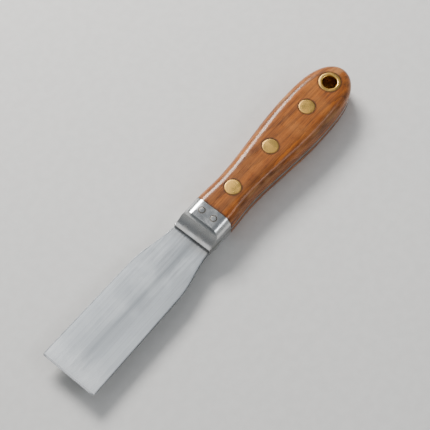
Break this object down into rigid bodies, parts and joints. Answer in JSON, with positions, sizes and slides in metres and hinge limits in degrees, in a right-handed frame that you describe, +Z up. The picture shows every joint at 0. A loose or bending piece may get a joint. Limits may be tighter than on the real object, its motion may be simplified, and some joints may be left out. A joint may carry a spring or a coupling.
{
  "type": "flexible putty knife",
  "caption": "Putty knife with a thin square-ended spring-steel blade that flexes, a full tang, a pinned bolster, riveted wooden scales and a lined hanging hole.",
  "frame": {"origin": "on the surface that the knife lies on, below the middle of its length and width", "axes": "+X from the working edge towards the butt of the handle, +Y across the blade, +Z up and square to the blade's face"},
  "size_m": [0.2, 0.03, 0.017],
  "materials": {
    "blade_steel": "satin ground spring steel with fine lengthwise polishing lines",
    "bolster_steel": "polished steel, softly worn",
    "handle_wood": "orange-brown varnished hardwood with dark pores, satin gloss",
    "rivet_brass": "turned and polished brass, slightly tarnished"
  },
  "bodies": {
    "handle": {"blade_root": "blade_steel", "bolster_upper": "bolster_steel", "bolster_lower": "bolster_steel", "bolster_pin_left": "bolster_steel", "bolster_pin_right": "bolster_steel", "scale_upper": "handle_wood", "scale_lower": "handle_wood", "rivet_1_male": "rivet_brass", "rivet_1_female": "rivet_brass", "rivet_2_male": "rivet_brass", "rivet_2_female": "rivet_brass", "rivet_3_male": "rivet_brass", "rivet_3_female": "rivet_brass", "hang_hole_eyelet": "rivet_brass"},
    "flexing_blade": {"blade_flexing_end": "blade_steel"}
  },
  "joints": [
    {"name": "blade_flex", "type": "hinge", "parent": "handle", "child": "flexing_blade", "pos_m": [-0.06, 0, 0.0085], "axis": [0, 1, 0], "range_deg": [-30, 30], "stiffness_Nm_per_rad": 5.15}
  ]
}
